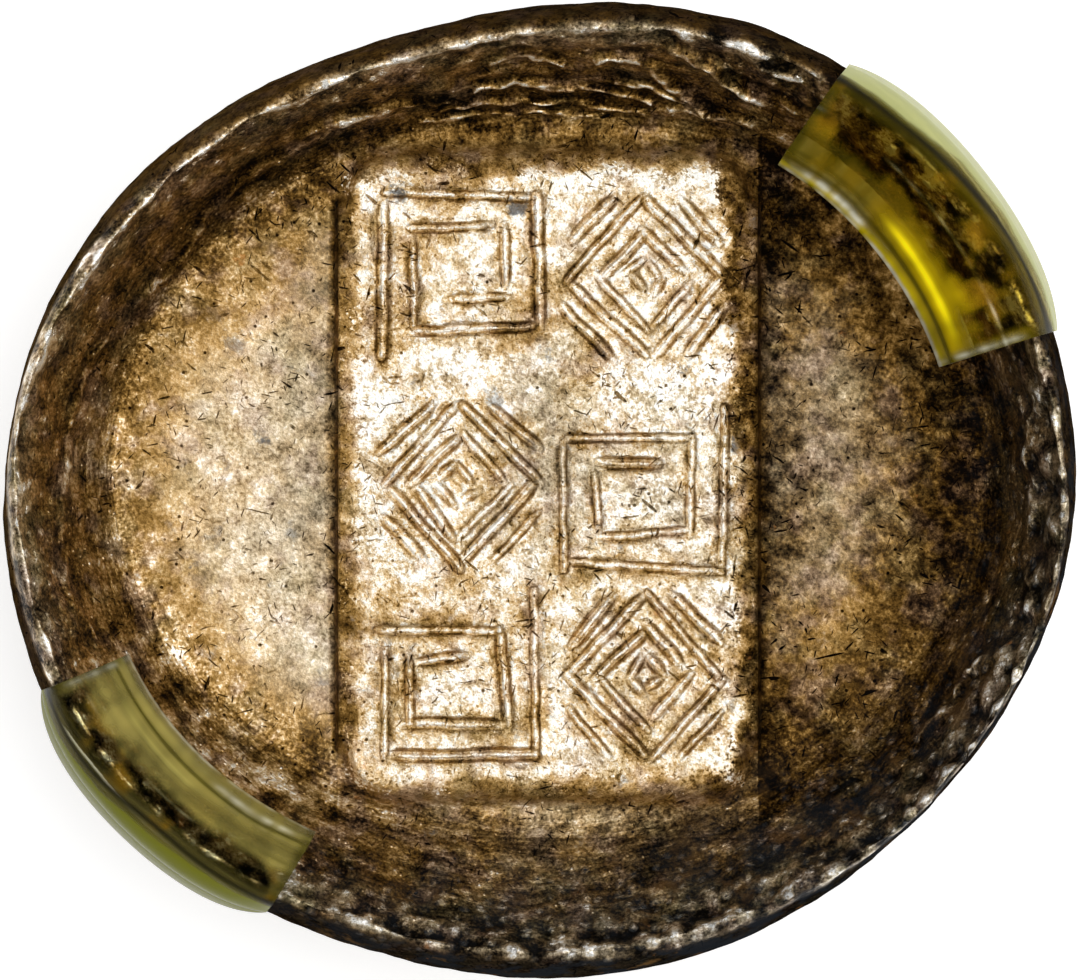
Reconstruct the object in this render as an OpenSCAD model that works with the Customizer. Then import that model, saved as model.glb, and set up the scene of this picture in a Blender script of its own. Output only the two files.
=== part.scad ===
// Cast silver trough ingot with two slit tubing sleeves on its rim.
// Frame: +Z up, the base on Z = 0, the oval centred on the origin, the panel's length along Y.
// All lengths are in millimetres and all angles in degrees, counted from +X.

/* [Oval] */
// Length of the oval along its long axis
ingot_l = 54; // [50:0.1:60]
// Width of the oval across its short axis
ingot_w = 48.6; // [45:0.1:54]
// Turn of the long axis from X
oval_turn = 12; // [-30:1:30]
// Swell of the three fuller corners of the hand-cut mould
corner_swell = 0.25; // [0:0.05:0.8]
// Direction of the first fuller corner
corner_turn = 51; // [0:1:120]
// Swell of the five fainter corners
facet_swell = 0.17; // [0:0.01:0.4]
// Direction of the first fainter corner
facet_turn = -4; // [-36:1:36]

/* [Section] */
// Height of the rim's crest, halfway between the ends and the sides of the oval
rim_h = 15.6; // [14.5:0.1:20]
// How much higher the crest is at the two ends of the oval, and lower at its sides
rim_lift = 0.6; // [0:0.1:1.2]
// Height of the oval's widest line
shoulder_h = 10.5; // [8:0.1:11]
// Inward step from the widest line to the crest
crest_inset = 1.5; // [0.8:0.1:2.5]
// Inward step from the widest line to the edge of the flat base
base_inset = 13; // [8:0.1:15]

/* [Dish] */
// Depth of the dish's lowest point under the crest
dish_d = 6.6; // [5:0.1:8]
// Length of the dish's nearly flat floor, along X
pool_l = 43.5; // [36:0.1:46]
// Width of the dish's nearly flat floor, along Y
pool_w = 34.9; // [30:0.1:39]
// Rise of that floor from its lowest point to its edge
pool_bow = 0.6; // [0:0.05:1.2]
// Exponent of the inner wall's curve: a higher one gives a softer foot and a steeper top
wall_power = 1.4; // [1.1:0.05:2]
// Place of the dish's lowest point along X
dish_x = 0.5; // [-1.5:0.1:1.5]
// Place of the dish's lowest point along Y
dish_y = 1.2; // [-1.5:0.1:1.5]

/* [Struck panel] */
// Width of the flat trough that was struck across the dish
panel_w = 21; // [16:0.1:24]
// Length of the trough's flat floor
panel_l = 29; // [26:0.1:32]
// Depth of the trough's floor under the dish's lowest point
panel_d = 0.4; // [0.2:0.05:1]
// How far the trough runs on past its flat floor at each end, curving upwards
panel_end_run = 2.3; // [1:0.1:2.6]
// Radius of that curve
panel_end_r = 3.6; // [3:0.1:4.5]
// Radius of the trough's corners, seen from above
panel_corner_r = 3; // [1:0.1:5]
// Place of the trough's middle along X
panel_x = 0.4; // [-1:0.1:1]
// Place of the trough's middle along Y
panel_y = 0.75; // [-1:0.05:1]

/* [Rim sleeves] */
// Wall of the slit tubing
sleeve_wall = 0.8; // [0.6:0.1:1.4]
// Gap between the tubing and the rim, at its outer side and at its inner lip
sleeve_gap = 0.2; // [0.15:0.05:0.4]
// Drop of a sleeve's outer side under the crest
sleeve_drop = 3; // [2.2:0.1:3.8]
// Depth of the tubing's axis under the crest, in shares of the bore's radius
sleeve_seat = 0.6; // [0.4:0.05:0.7]
// Direction of the middle of the right sleeve
right_sleeve_turn = 35.5; // [25:0.5:50]
// Angle that the right sleeve spans
right_sleeve_span = 37; // [20:1:50]
// Bore of the right sleeve
right_sleeve_bore = 5.2; // [3.4:0.1:5.6]
// Direction of the middle of the left sleeve
left_sleeve_turn = 219.5; // [205:0.5:235]
// Angle that the left sleeve spans
left_sleeve_span = 35; // [20:1:50]
// Bore of the left sleeve
left_sleeve_bore = 3.8; // [3.4:0.1:5.6]

/* [Hidden] */

// Counts of the loft: corners of a ring, and rings of each stretch of the section
ring_corners = 96;
wall_rings = 10;
shoulder_rings = 6;
inner_wall_rings = 10;
pool_rings = 5;
// Counts of a sleeve: stations along the rim, steps up its outer side, and steps round its bore
sleeve_stations = 20;
leg_steps = 4;
bore_steps = 20;
// Directions round the bore, from straight out over the top, between which the slit's inner lip is sought
lip_first = 180;
lip_last = 250;
// Steps of the arc at each end of the trough, and of each of its corners
end_arc_steps = 8;
corner_steps = 8;

silver = "#8d7a5c";
tubing = [0.62, 0.58, 0.12, 0.7];

mean_r = (ingot_l + ingot_w) / 4;
oval_r = (ingot_l - ingot_w) / 4;
floor_z = rim_h - dish_d;
panel_z = floor_z - panel_d;
trough_top = panel_d + dish_d + rim_lift + panel_end_r;
trough_l = panel_l + 2 * panel_end_run;

// Radius of the oval's widest line, before it is centred
function outline_r(a) = mean_r + oval_r * cos(2 * (a - oval_turn))
    + corner_swell * cos(3 * (a - corner_turn)) + facet_swell * cos(5 * (a - facet_turn));

ring_angles = [for (i = [0:ring_corners - 1]) 360 * i / ring_corners];

// Middle of the oval's box, which becomes the origin
function ends_middle(values) = (min(values) + max(values)) / 2;
middle = [
    ends_middle([for (a = ring_angles) outline_r(a) * cos(a)]),
    ends_middle([for (a = ring_angles) outline_r(a) * sin(a)])
];

function unit(v) = v / norm(v);
function at_polar(r, a, z) = [r * cos(a) - middle.x, r * sin(a) - middle.y, z];

function crest_r(a) = outline_r(a) - crest_inset;
function crest_z(a) = rim_h + rim_lift * cos(2 * (a - oval_turn));

// Outer wall, from the edge of the base at u = 0 to the widest line at u = 1
function wall_point(a, u) =
    at_polar(outline_r(a) - base_inset * (1 - sin(90 * u)), a, shoulder_h * (1 - cos(90 * u)));

// Shoulder, from the widest line at u = 0 to the crest at u = 1
function shoulder_point(a, u) = at_polar(
    outline_r(a) - crest_inset * (1 - cos(90 * u)), a,
    shoulder_h + (crest_z(a) - shoulder_h) * sin(90 * u)
);

// Dish, seen from above: from its lowest point to the crest, and to the edge of its floor on the way there
lowest = [dish_x, dish_y];
function to_crest(a) = [crest_r(a) * cos(a) - middle.x, crest_r(a) * sin(a) - middle.y] - lowest;
function crest_away(a) = norm(to_crest(a));
function pool_away(a) = let (d = unit(to_crest(a))) 1 / norm([2 * d.x / pool_l, 2 * d.y / pool_w]);

// Dish, at this distance from its lowest point
function dish_point(a, away) =
    let (
        plan = lowest + away * unit(to_crest(a)),
        bowed = pool_bow * pow(min(1, away / pool_away(a)), 2),
        up_wall = max(0, (away - pool_away(a)) / (crest_away(a) - pool_away(a))),
        wall_h = crest_z(a) - floor_z - pool_bow
    )
    [plan.x, plan.y, floor_z + bowed + wall_h * pow(up_wall, wall_power)];

// Inner wall, from the crest at u = 0 to the edge of the dish's floor at u = 1
function inner_wall_point(a, u) = dish_point(a, crest_away(a) + u * (pool_away(a) - crest_away(a)));

// Dish's floor, from its edge at u = 0 to its lowest point at u = 1
function pool_point(a, u) = dish_point(a, (1 - u) * pool_away(a));

// Two triangles on each cell between ring k and ring k + 1
function band(k) = [
    for (i = [0:ring_corners - 1])
        let (
            a = k * ring_corners + i,
            b = k * ring_corners + (i + 1) % ring_corners
        )
        each [[a, a + ring_corners, b], [b, a + ring_corners, b + ring_corners]]
];

// Triangles from a ring to one point
function fan(k, tip, up) = [
    for (i = [0:ring_corners - 1])
        let (
            a = k * ring_corners + i,
            b = k * ring_corners + (i + 1) % ring_corners
        )
        up ? [a, tip, b] : [b, tip, a]
];

// The casting before the panel is struck: one loft from the base over the rim to the dish's floor
module cast_blank() {
    rings = concat(
        [for (k = [0:wall_rings]) [for (a = ring_angles) wall_point(a, k / wall_rings)]],
        [for (k = [1:shoulder_rings]) [for (a = ring_angles) shoulder_point(a, k / shoulder_rings)]],
        [for (k = [1:inner_wall_rings]) [for (a = ring_angles) inner_wall_point(a, k / inner_wall_rings)]],
        [for (k = [1:pool_rings - 1]) [for (a = ring_angles) pool_point(a, k / pool_rings)]]
    );
    last = len(rings) - 1;
    dish_tip = len(rings) * ring_corners;
    polyhedron(
        points = concat([for (r = rings) each r], [pool_point(0, 1), [0, 0, 0]]),
        faces = concat(
            [for (k = [0:last - 1]) each band(k)],
            fan(last, dish_tip, true),
            fan(0, dish_tip + 1, false)
        )
    );
}

// Outline of the trough along its length: a flat floor with a round rise at each end
module trough_outline() {
    end_arc = [for (k = [0:end_arc_steps]) let (a = 90 * k / end_arc_steps)
        [panel_l / 2 + panel_end_r * sin(a), panel_end_r * (1 - cos(a))]];
    end_x = panel_l / 2 + panel_end_r;
    polygon(concat(
        end_arc,
        [[end_x, trough_top], [-end_x, trough_top]],
        [for (k = [end_arc_steps:-1:0]) [-end_arc[k].x, end_arc[k].y]]
    ));
}

// Space that the strike clears, with its corners rounded as seen from above
module trough() {
    intersection() {
        rotate([90, 0, 90])
            linear_extrude(panel_w, center = true)
                trough_outline();
        linear_extrude(2 * trough_top, center = true)
            offset(r = panel_corner_r, $fn = 4 * corner_steps)
                square([panel_w - 2 * panel_corner_r, trough_l - 2 * panel_corner_r], center = true);
    }
}

module ingot() {
    color(silver)
    difference() {
        cast_blank();
        translate([panel_x, panel_y, panel_z])
            trough();
    }
}

// Outside of the rim at this height
function rim_outside_r(a, z) =
    outline_r(a) - crest_inset * (1 - sqrt(1 - pow((z - shoulder_h) / (crest_z(a) - shoulder_h), 2)));

// Axis of the tubing: its bore lies against the outside of the rim
function axis_z(a, bore_r) = crest_z(a) - sleeve_seat * bore_r;
function axis_r(a, bore_r) = rim_outside_r(a, axis_z(a, bore_r)) + sleeve_gap - bore_r;

// Outer side of a sleeve, from its lower edge at u = 0 to the height of its axis at u = 1
function leg_point(a, bore_r, u, off) =
    let (z = crest_z(a) - sleeve_drop + u * (sleeve_drop - sleeve_seat * bore_r))
    at_polar(rim_outside_r(a, z) + sleeve_gap + off, a, z);

// Round stretch of a sleeve, turn degrees from straight out over the top
function bore_point(a, bore_r, turn, off) = at_polar(
    axis_r(a, bore_r) + (bore_r + off) * cos(turn), a,
    axis_z(a, bore_r) + (bore_r + off) * sin(turn)
);

// The inner lip lies where both corners of the slit's edge still clear the dish's wall
function lip_clears(a, bore_r, turn, off) =
    let (
        inside = crest_r(a) - axis_r(a, bore_r) - (bore_r + off) * cos(turn),
        lip_z = axis_z(a, bore_r) + (bore_r + off) * sin(turn)
    )
    lip_z > dish_point(a, crest_away(a) - inside + sleeve_gap).z;
function lip_turn(angles, bore_r) = max([
    for (turn = [lip_first:lip_last])
        if (min([for (a = angles, off = [0, sleeve_wall]) lip_clears(a, bore_r, turn, off) ? 1 : 0]) == 1) turn
]);

// A stretch of slit tubing that straddles the rim, swept from one end of its span to the other
module rim_sleeve(turn, span, bore) {
    bore_r = bore / 2;
    angles = [for (k = [0:sleeve_stations]) turn - span / 2 + span * k / sleeve_stations];
    lip = lip_turn(angles, bore_r);
    around = leg_steps + bore_steps + 1;
    corners = 2 * around;
    function wall_side(a, off) = concat(
        [for (k = [0:leg_steps - 1]) leg_point(a, bore_r, k / leg_steps, off)],
        [for (k = [0:bore_steps]) bore_point(a, bore_r, lip * k / bore_steps, off)]
    );
    points = [for (a = angles)
        let (outer = wall_side(a, sleeve_wall))
        each concat(wall_side(a, 0), [for (k = [around - 1:-1:0]) outer[k]])];
    sides = [
        for (j = [0:sleeve_stations - 1], i = [0:corners - 1])
            let (
                a = j * corners + i,
                b = j * corners + (i + 1) % corners
            )
            each [[a, b, a + corners], [b, b + corners, a + corners]]
    ];
    last = sleeve_stations * corners;
    ends = [
        for (i = [0:around - 2])
            let (far = corners - 1 - i)
            each [
                [i, far, i + 1], [i + 1, far, far - 1],
                [last + i, last + i + 1, last + far], [last + i + 1, last + far - 1, last + far]
            ]
    ];
    polyhedron(points = points, faces = concat(sides, ends));
}

module rim_sleeve_right() {
    color(tubing) rim_sleeve(right_sleeve_turn, right_sleeve_span, right_sleeve_bore);
}

module rim_sleeve_left() {
    color(tubing) rim_sleeve(left_sleeve_turn, left_sleeve_span, left_sleeve_bore);
}

ingot();
rim_sleeve_right();
rim_sleeve_left();
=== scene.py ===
import math
from types import SimpleNamespace

import bpy
import numpy as np
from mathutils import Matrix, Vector, noise


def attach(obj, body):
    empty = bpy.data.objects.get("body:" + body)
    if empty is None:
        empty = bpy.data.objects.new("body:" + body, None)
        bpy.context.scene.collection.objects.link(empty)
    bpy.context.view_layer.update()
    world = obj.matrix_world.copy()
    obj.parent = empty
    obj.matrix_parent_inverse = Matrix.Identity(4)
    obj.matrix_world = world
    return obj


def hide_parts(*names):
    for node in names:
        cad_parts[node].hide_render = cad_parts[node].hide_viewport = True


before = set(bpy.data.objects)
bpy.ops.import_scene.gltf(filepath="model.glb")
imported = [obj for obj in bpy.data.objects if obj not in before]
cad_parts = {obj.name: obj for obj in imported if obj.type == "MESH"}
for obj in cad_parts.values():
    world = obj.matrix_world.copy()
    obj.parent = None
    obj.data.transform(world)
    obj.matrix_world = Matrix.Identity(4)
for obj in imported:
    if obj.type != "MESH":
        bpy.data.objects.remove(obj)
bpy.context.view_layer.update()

# Units: shapes are worked out in millimetres and written to the meshes in metres
MM = 0.001

# The photograph's width in pixels, and how many of its pixels make a millimetre at the widest line
PHOTO_W = 1080
PX_PER_MM = 20

# The oval and its section, as the solids have them
INGOT_L = 54.0
INGOT_W = 48.6
OVAL_TURN = math.radians(12)
CORNER_SWELL = 0.25
CORNER_TURN = math.radians(51)
FACET_SWELL = 0.17
FACET_TURN = math.radians(-4)
RIM_H = 15.6
RIM_LIFT = 0.6
SHOULDER_H = 10.5
CREST_INSET = 1.5
BASE_INSET = 13.0

# The dish and the struck panel
DISH_D = 6.6
POOL_L = 43.5
POOL_W = 34.9
POOL_BOW = 0.6
WALL_POWER = 1.4
DISH_X = 0.5
DISH_Y = 1.2
PANEL_W = 21.0
PANEL_L = 29.0
PANEL_D = 0.4
PANEL_END_RUN = 2.3
PANEL_END_R = 3.6
PANEL_CORNER_R = 3.0
PANEL_X = 0.4
PANEL_Y = 0.75
FLOOR_Z = RIM_H - DISH_D
PANEL_Z = FLOOR_Z - PANEL_D

# The slit tubing on the rim
SLEEVE_WALL = 0.8
SLEEVE_GAP = 0.2
SLEEVE_DROP = 3.0
SLEEVE_SEAT = 0.6

# Each sleeve: its direction and span in degrees, its bore in millimetres, how its foot rises and thins, its
# colours, where its bands lie across it, and how strongly each of them shows. The streak colour and the
# streaks are painted highlights, the shaded share is painted shade, and the scuffs carry a painted highlight
# too
RIGHT = SimpleNamespace(
    turn=35.5, span=37, bore=5.2, end_rise=0.9, slim=0.3,
    glass=(0.9, 0.79, 0.32), milky=(0.58, 0.6, 0.24), deep=(0.36, 0.25, 0.001), streak=(0.92, 0.74, 0.005),
    foot=0.075, flare=0.07, deep_from=0.64, inner=0.06,
    milky_body=0.72, deep_body=0.74, upper_share=0.35,
    streaks=1.0, scuff_and_highlight=0.9, amber=0.5, window=0.6, shaded=0.75)
LEFT = SimpleNamespace(
    turn=219.5, span=35, bore=3.8, end_rise=1.0, slim=0.0,
    glass=(0.95, 0.92, 0.7), milky=(0.18, 0.185, 0.012), deep=(0.3, 0.245, 0.06), streak=(0.38, 0.33, 0.08),
    foot=0.13, flare=0.0, deep_from=0.52, inner=0.0,
    milky_body=0.95, deep_body=0.62, upper_share=0.9,
    streaks=0.6, scuff_and_highlight=0.5, amber=0.4, window=0.3, shaded=0.15)


# Handling of meshes

def start_fresh():
    """Deselects everything, so that an operator acts only on the piece in hand."""
    if bpy.context.object and bpy.context.object.mode != "OBJECT":
        bpy.ops.object.mode_set(mode="OBJECT")
    bpy.ops.object.select_all(action="DESELECT")


def take_in_hand(piece):
    start_fresh()
    bpy.context.view_layer.objects.active = piece
    piece.select_set(True)


def read_points(mesh):
    """The mesh's vertices, in millimetres, one row each."""
    points = np.empty(len(mesh.vertices) * 3, np.float32)
    mesh.vertices.foreach_get("co", points)
    return points.reshape(-1, 3).astype(float) / MM


def place_points(mesh, points):
    """Moves the mesh's vertices to these places, in millimetres."""
    mesh.vertices.foreach_set("co", (points * MM).astype(np.float32).ravel())
    mesh.update()


def read_normals(mesh):
    normals = np.empty(len(mesh.vertices) * 3, np.float32)
    mesh.vertices.foreach_get("normal", normals)
    return normals.reshape(-1, 3).astype(float)


def paint(mesh, name, values):
    """Keeps one number per vertex as a named attribute."""
    layer = mesh.attributes.get(name) or mesh.attributes.new(name, "FLOAT", "POINT")
    layer.data.foreach_set("value", np.asarray(values, np.float32))


def paint_vectors(mesh, name, vectors):
    """Keeps one vector per vertex as a named attribute."""
    layer = mesh.attributes.new(name, "FLOAT_VECTOR", "POINT")
    layer.data.foreach_set("vector", np.asarray(vectors, np.float32).ravel())


def painted(mesh, name):
    values = np.empty(len(mesh.vertices), np.float32)
    mesh.attributes[name].data.foreach_get("value", values)
    return values.astype(float)


def ease(low, high, x):
    """0 at low, 1 at high, and a smooth rise between them."""
    t = np.clip((x - low) / (high - low), 0, 1)
    return t * t * (3 - 2 * t)


def fade(low, high, x):
    """1 at low, 0 at high, and a smooth fall between them."""
    return 1 - ease(low, high, x)


def bump(x, width):
    """1 where x is 0, and a smooth fall on both sides."""
    return np.exp(-(x / width) ** 2)


def blend(a, b, share):
    return a + (b - a) * share


def lumps(points, size, seed):
    """Even random swells of about this size, between -1 and 1."""
    shift = Vector((seed * 7.3, seed * 3.1, seed * 5.7))
    return np.array([noise.noise(Vector(p) / size + shift) for p in points])


def pits(points, size, seed):
    """Distance to the nearest of many scattered points, in shares of their spacing."""
    shift = Vector((seed * 4.9, seed * 8.3, seed * 2.7))
    return np.array([noise.voronoi(Vector(p) / size + shift)[0][0] for p in points])


# The oval's own curves

def outline_r(a):
    mean = (INGOT_L + INGOT_W) / 4
    oval = (INGOT_L - INGOT_W) / 4
    return (mean + oval * np.cos(2 * (a - OVAL_TURN)) + CORNER_SWELL * np.cos(3 * (a - CORNER_TURN))
            + FACET_SWELL * np.cos(5 * (a - FACET_TURN)))


def oval_middle():
    a = np.radians(np.arange(0, 360, 3.75))
    x = outline_r(a) * np.cos(a)
    y = outline_r(a) * np.sin(a)
    return np.array([(x.min() + x.max()) / 2, (y.min() + y.max()) / 2])


MIDDLE = oval_middle()


def at_polar(r, a, z):
    return np.stack([r * np.cos(a) - MIDDLE[0], r * np.sin(a) - MIDDLE[1], z + 0 * a], -1)


def from_angle(a, turn):
    """Angle from this direction, in degrees, between -180 and 180."""
    return np.mod(np.degrees(a) - turn + 180, 360) - 180


# The crest stands further out in some directions: degrees and millimetres
CREST_OUT = ((-12, 0.75), (-40, 0.8), (172, 0.8))
CREST_OUT_SPAN = 17


def crest_inset(a):
    return CREST_INSET - sum(out * bump(from_angle(a, turn), CREST_OUT_SPAN) for turn, out in CREST_OUT)


def crest_z(a):
    return RIM_H + RIM_LIFT * np.cos(2 * (a - OVAL_TURN))


def crest_point(a):
    return at_polar(outline_r(a) - crest_inset(a), a, crest_z(a))


def shoulder_point(a, u):
    """From the widest line at u = 0 to the crest at u = 1."""
    rise = (crest_z(a) - SHOULDER_H) * np.sin(u * np.pi / 2)
    return at_polar(outline_r(a) - crest_inset(a) * (1 - np.cos(u * np.pi / 2)), a, SHOULDER_H + rise)


def wall_point(a, u):
    """From the base's edge at u = 0 to the widest line at u = 1."""
    inset = BASE_INSET * (1 - np.sin(u * np.pi / 2))
    return at_polar(outline_r(a) - inset, a, SHOULDER_H * (1 - np.cos(u * np.pi / 2)))


def dish_place(xy):
    """For points seen from above: the way from the dish's lowest point to there, to the edge of the dish's
    floor and to the crest, and the crest's angle."""
    a = np.linspace(-np.pi, 3 * np.pi, 2881)
    edge = crest_point(a)
    reach = np.hypot(edge[:, 0] - DISH_X, edge[:, 1] - DISH_Y)
    heading = np.unwrap(np.arctan2(edge[:, 1] - DISH_Y, edge[:, 0] - DISH_X))
    away = np.hypot(xy[:, 0] - DISH_X, xy[:, 1] - DISH_Y)
    looking = np.mod(np.arctan2(xy[:, 1] - DISH_Y, xy[:, 0] - DISH_X), 2 * np.pi)
    full = np.interp(looking, heading, reach)
    pool = 1 / np.hypot(2 * np.cos(looking) / POOL_L, 2 * np.sin(looking) / POOL_W)
    return away, pool, full, np.mod(np.interp(looking, heading, a), 2 * np.pi)


def dish_height(xy):
    away, pool, full, a = dish_place(xy)
    bowed = POOL_BOW * np.minimum(1, away / pool) ** 2
    up_wall = np.maximum(0, (away - pool) / (full - pool))
    return FLOOR_Z + bowed + (crest_z(a) - FLOOR_Z - POOL_BOW) * up_wall ** WALL_POWER


def trough_height(y):
    """Height of the struck trough's floor, with the round rise at each of its ends."""
    over = np.clip(np.abs(y - PANEL_Y) - PANEL_L / 2, 0, PANEL_END_R)
    return PANEL_Z + PANEL_END_R - np.sqrt(PANEL_END_R ** 2 - over ** 2)


# How softly the trough's ends and corners run out into the dish's wall
TROUGH_SOFT = 0.45
CORNER_SOFT = 0.9


def past_corner(xy):
    """1 where the trough's rounded corners leave the dish as it was cast, 0 inside them."""
    corner = np.array([PANEL_W / 2, PANEL_L / 2 + PANEL_END_RUN]) - PANEL_CORNER_R
    past = np.abs(xy - (PANEL_X, PANEL_Y)) - corner
    off = np.linalg.norm(np.maximum(past, 0), axis=1) - PANEL_CORNER_R
    return ease(-CORNER_SOFT, 0, off) * ease(-1, 0.5, past[:, 1])


def struck_height(xy):
    """The lower of trough and dish, with a soft line where they meet."""
    trough = trough_height(xy[:, 1])
    dish = dish_height(xy)
    share = np.clip(0.5 + (dish - trough) / (2 * TROUGH_SOFT), 0, 1)
    struck = dish + (trough - dish) * share - TROUGH_SOFT * share * (1 - share)
    return blend(struck, dish, past_corner(xy))


# The ingot's loops outside the panel: how many there are on each stretch of its section
PANEL_COLS = 84
PANEL_ROWS = 144
SIDE_LOOPS = 4
DISH_LOOPS = 52
SHOULDER_LOOPS = 14
WALL_LOOPS = 16
BASE_LOOPS = 12
COLLAR_STEP = 1.0

# The panel's side: how far it leans out, how its rise eases in and out, and from what height on it is a step
SIDE_BATTER = 0.22
SIDE_EASE = (-0.2, 1.1)
STEP_H = (0.08, 0.4)

# How much closer the dish's loops lie towards the crest where the floor is wide
CREST_CROWD = 1.2

# Where each stretch ends along the section
SIDE_END = 1
DISH_END = 2
SHOULDER_END = 3
WALL_END = 4


def ingot_blank():
    """The panel as a grid, with its border drawn out loop by loop over dish, rim, wall and base."""
    start_fresh()
    bpy.ops.mesh.primitive_grid_add(x_subdivisions=PANEL_COLS, y_subdivisions=PANEL_ROWS, size=1)
    ingot = bpy.context.object
    ingot.name = "ingot_visual"
    ingot.scale = (PANEL_W * MM, (PANEL_L + 2 * PANEL_END_R) * MM, 1)
    ingot.location = (PANEL_X * MM, PANEL_Y * MM, 0)
    bpy.ops.object.transform_apply(location=True, rotation=True, scale=True)
    bpy.ops.object.mode_set(mode="EDIT")
    bpy.ops.mesh.select_all(action="SELECT")
    bpy.ops.mesh.region_to_loop()
    for _ in range(SIDE_LOOPS + DISH_LOOPS + SHOULDER_LOOPS + WALL_LOOPS + BASE_LOOPS):
        bpy.ops.mesh.extrude_region_move(TRANSFORM_OT_translate={"value": (0, 0, COLLAR_STEP * MM)})
    bpy.ops.mesh.merge(type="CENTER")
    bpy.ops.object.mode_set(mode="OBJECT")
    return ingot


def even_turn(start):
    """Angle on the rim for each point of the panel's border, with equal steps all the way round."""
    half_w, half_l = PANEL_W / 2, PANEL_L / 2 + PANEL_END_R
    x = np.clip(start[:, 0] - PANEL_X, -half_w, half_w)
    y = np.clip(start[:, 1] - PANEL_Y, -half_l, half_l)
    to_side = (half_w - np.abs(x)) / PANEL_W
    to_end = (half_l - np.abs(y)) / PANEL_L
    along_side = np.where(x > 0, y, 2 * half_l + 2 * half_w - y)
    along_end = np.where(y > 0, half_l + half_w - x, 3 * half_l + 3 * half_w + x)
    run = np.where(to_side < to_end, along_side, along_end)
    return run * 2 * np.pi / (4 * (half_w + half_l))


def stretch(loop, first, count):
    """Which points belong to one stretch of loops, and how far along it each of them lies."""
    here = (loop > first) & (loop <= first + count)
    return here, (loop[here] - first) / count


def shape_section(ingot):
    """Lays the drawn-out loops on the ingot's section: the loop's number is its height in the collar."""
    mesh = ingot.data
    points = read_points(mesh)
    loop = np.rint(points[:, 2] / COLLAR_STEP).astype(int)
    start = points[:, :2].copy()
    angle = even_turn(start)
    crest = crest_point(angle)
    way = crest[:, :2] - start
    top = start + SIDE_BATTER * way / np.linalg.norm(way, axis=1)[:, None]
    foot_z = struck_height(start)
    top_z = dish_height(top)
    placed = np.column_stack([start, foot_z])
    section = np.zeros(len(points))

    here, t = stretch(loop, 0, SIDE_LOOPS)
    placed[here, :2] = start[here] + (top[here] - start[here]) * t[:, None]
    placed[here, 2] = foot_z[here] + (top_z[here] - foot_z[here]) * ease(*SIDE_EASE, t)
    section[here] = t
    step = np.where(loop <= SIDE_LOOPS, ease(*STEP_H, top_z - foot_z), 0) * (loop > 0)

    first = SIDE_LOOPS
    here, t = stretch(loop, first, DISH_LOOPS)
    away, pool, full, _ = dish_place(top[here])
    flat_share = np.clip((pool - away) / (full - away), 0, 1)
    even = 1 - (1 - t) ** (1 + CREST_CROWD * flat_share)
    placed[here, :2] = top[here] + (crest[here, :2] - top[here]) * even[:, None]
    placed[here, 2] = dish_height(placed[here, :2])
    section[here] = SIDE_END + t

    first += DISH_LOOPS
    here, t = stretch(loop, first, SHOULDER_LOOPS)
    placed[here] = shoulder_point(angle[here], 1 - t)
    section[here] = DISH_END + t

    first += SHOULDER_LOOPS
    here, t = stretch(loop, first, WALL_LOOPS)
    placed[here] = wall_point(angle[here], 1 - t)
    section[here] = SHOULDER_END + t

    first += WALL_LOOPS
    here, t = stretch(loop, first, BASE_LOOPS)
    placed[here] = wall_point(angle[here], 0) * (1 - t)[:, None]
    section[here] = WALL_END + t
    placed[loop == loop.max()] = 0

    place_points(mesh, placed)
    paint(mesh, "section", section)
    paint(mesh, "step", step)


# The chiselled ornament: square spirals and nested lozenges by turns, in two columns of three
GROOVE_W = 0.64
GROOVE_D = 0.24
BURR_H = 0.07
HALO_W = 0.75
MOTIF_XS = (-4.5, 4.85)
MOTIF_YS = (9.9, -0.5, -10.1)
MOTIF_W = 7.8
MOTIF_H = 8.2
SPIRAL_PITCH = 1.6
LOZENGE_SHARES = (1.0, 0.62, 0.24)
TICK_FAR = 0.5
TICK_NEAR = 0.2

# The engraver's slips: how far a stroke's ends stray and overshoot, and how its width and depth vary
ENGRAVER_SEED = 7
HAND_SHAKE = 0.26
OVERSHOOT = 0.4
WIDTH_SPREAD = (0.7, 1.15)
DEPTH_SPREAD = (0.7, 1.2)

# A stroke's section, in shares of its half width: its two furrows, the web left between them, the dark line
# of painted shade on its shaded side, the painted highlight on the other and the burr along it
STROKE_WANDER = 0.09
STROKE_TAPER = 0.7
FURROW_AT = 0.5
FURROW_W = 0.34
WEB_D = 0.45
SHADE_AT = 0.75
GLEAM_AT = 1.4
BURR_AT = 1.15
SHADE_SIDE = np.array([-0.8, -0.6])


def square_spiral(hand):
    """Strokes of a square spiral that winds inwards from its lower outer corner."""
    left, right = -MOTIF_W / 2, MOTIF_W / 2
    low, high = -MOTIF_H / 2, MOTIF_H / 2
    corners = [(left, low)]
    while right - left > SPIRAL_PITCH and high - low > SPIRAL_PITCH:
        corners += [(left, high), (right, high), (right, low + SPIRAL_PITCH)]
        corners += [(left + SPIRAL_PITCH, low + SPIRAL_PITCH)]
        left, right = left + SPIRAL_PITCH, right - SPIRAL_PITCH
        low, high = low + SPIRAL_PITCH, high - SPIRAL_PITCH
    corners = [(hand * x, hand * y) for x, y in corners]
    return list(zip(corners, corners[1:]))


def nested_lozenges():
    """Strokes of lozenges one inside the other, with a tick across each corner of their field."""
    strokes = []
    for share in LOZENGE_SHARES:
        wide, tall = share * MOTIF_W / 2, share * MOTIF_H / 2
        corners = [(0, tall), (wide, 0), (0, -tall), (-wide, 0)]
        strokes += list(zip(corners, corners[1:] + corners[:1]))
    for sx in (-1, 1):
        for sy in (-1, 1):
            head = (sx * MOTIF_W * TICK_FAR, sy * MOTIF_H * TICK_NEAR)
            tail = (sx * MOTIF_W * TICK_NEAR, sy * MOTIF_H * TICK_FAR)
            strokes.append((head, tail))
    return strokes


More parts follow.
